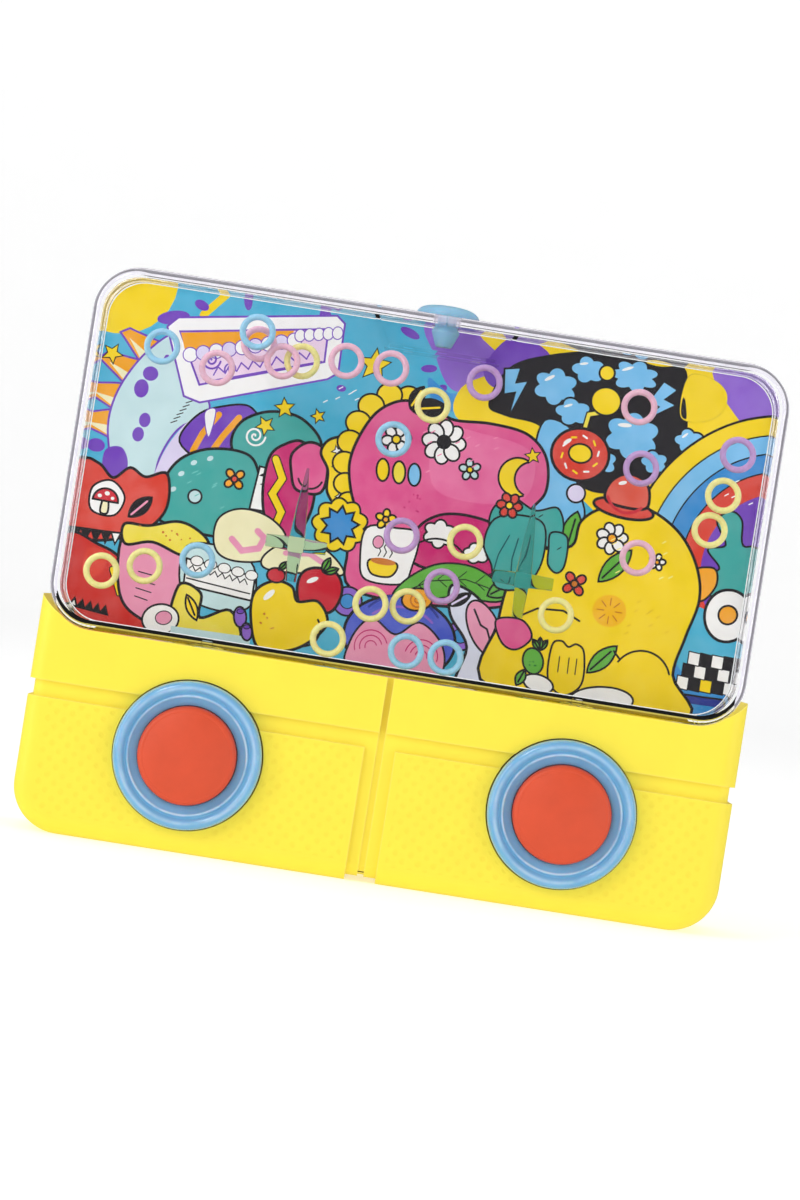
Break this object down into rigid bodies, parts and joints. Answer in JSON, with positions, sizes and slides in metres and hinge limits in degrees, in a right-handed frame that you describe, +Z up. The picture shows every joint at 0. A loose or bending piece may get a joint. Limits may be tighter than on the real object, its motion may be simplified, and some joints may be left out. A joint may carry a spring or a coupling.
{
  "type": "handheld water ring-toss game",
  "caption": "Handheld water ring-toss game: a clear tank with pegs and loose rings stands on a plastic base whose domed push buttons pump water jets up through the tank.",
  "frame": {"origin": "on the flat base, under the middle of the game's width and depth", "axes": "+X to the player's right, +Y away from the player through the back of the tank, +Z up from base to filler plug"},
  "size_m": [0.145, 0.032, 0.1188],
  "materials": {
    "housing_yellow": "moulded satin with dimpled pads",
    "screw_steel": "zinc plated",
    "tank_clear": "polished, clear",
    "printed_sheet": "printed cartoon landscape",
    "plug_blue": "soft translucent vinyl",
    "bezel_blue": "glossy",
    "button_red": "satin",
    "pump_rubber": "soft",
    "pump_plastic": "moulded",
    "seal_rubber": "matt",
    "peg_clear": "polished, clear",
    "ring_blue": "glossy, slightly translucent",
    "ring_pink": "glossy, slightly translucent",
    "ring_yellow": "glossy, slightly translucent",
    "ring_purple": "glossy, slightly translucent"
  },
  "bodies": {
    "casing": {"front_housing": "housing_yellow", "rear_housing": "housing_yellow", "housing_screws": "screw_steel", "tank_shell": "tank_clear", "tank_back": "tank_clear", "backdrop_print": "printed_sheet", "bezel_left": "bezel_blue", "pump_bellows_left": "pump_rubber", "pump_chamber_left": "pump_plastic", "duct_seal_left": "seal_rubber", "peg_left": "peg_clear", "bezel_right": "bezel_blue", "pump_bellows_right": "pump_rubber", "pump_chamber_right": "pump_plastic", "duct_seal_right": "seal_rubber", "peg_right": "peg_clear", "ring_blue_1": "ring_blue", "ring_blue_2": "ring_blue", "ring_blue_3": "ring_blue", "ring_blue_4": "ring_blue", "ring_pink_1": "ring_pink", "ring_pink_2": "ring_pink", "ring_pink_3": "ring_pink", "ring_pink_4": "ring_pink", "ring_pink_5": "ring_pink", "ring_pink_6": "ring_pink", "ring_pink_7": "ring_pink", "ring_yellow_1": "ring_yellow", "ring_yellow_2": "ring_yellow", "ring_yellow_3": "ring_yellow", "ring_yellow_4": "ring_yellow", "ring_yellow_5": "ring_yellow", "ring_yellow_6": "ring_yellow", "ring_yellow_7": "ring_yellow", "ring_yellow_9": "ring_yellow", "ring_yellow_10": "ring_yellow", "ring_yellow_11": "ring_yellow", "ring_purple_1": "ring_purple", "ring_purple_2": "ring_purple", "ring_purple_3": "ring_purple", "ring_purple_4": "ring_purple", "ring_purple_5": "ring_purple"},
    "left_button": {"button_left": "button_red"},
    "right_button": {"button_right": "button_red"},
    "plug": {"filler_plug": "plug_blue"},
    "floor_ring_middle": {"ring_blue_5": "ring_blue"},
    "floor_ring_right": {"ring_blue_6": "ring_blue"},
    "floor_ring_left": {"ring_yellow_8": "ring_yellow"}
  },
  "joints": [
    {"name": "left_button_press", "type": "slide", "parent": "casing", "child": "left_button", "axis": [0, 1, 0], "range_m": [0, 0.0045], "stiffness_N_per_m": 350, "springref_m": -0.004, "deforming": ["pump_bellows_left"]},
    {"name": "right_button_press", "type": "slide", "parent": "casing", "child": "right_button", "axis": [0, 1, 0], "range_m": [0, 0.0045], "stiffness_N_per_m": 350, "springref_m": -0.004, "deforming": ["pump_bellows_right"]},
    {"name": "plug_pull", "type": "slide", "parent": "casing", "child": "plug", "axis": [0, 0, 1], "range_m": [0, 0.02]},
    {"name": "floor_ring_middle_rise", "type": "slide", "parent": "casing", "child": "floor_ring_middle", "axis": [0, 0, 1], "range_m": [0, 0.055]},
    {"name": "floor_ring_right_rise", "type": "slide", "parent": "casing", "child": "floor_ring_right", "axis": [0, 0, 1], "range_m": [0, 0.055]},
    {"name": "floor_ring_left_rise", "type": "slide", "parent": "casing", "child": "floor_ring_left", "axis": [0, 0, 1], "range_m": [0, 0.055]}
  ]
}
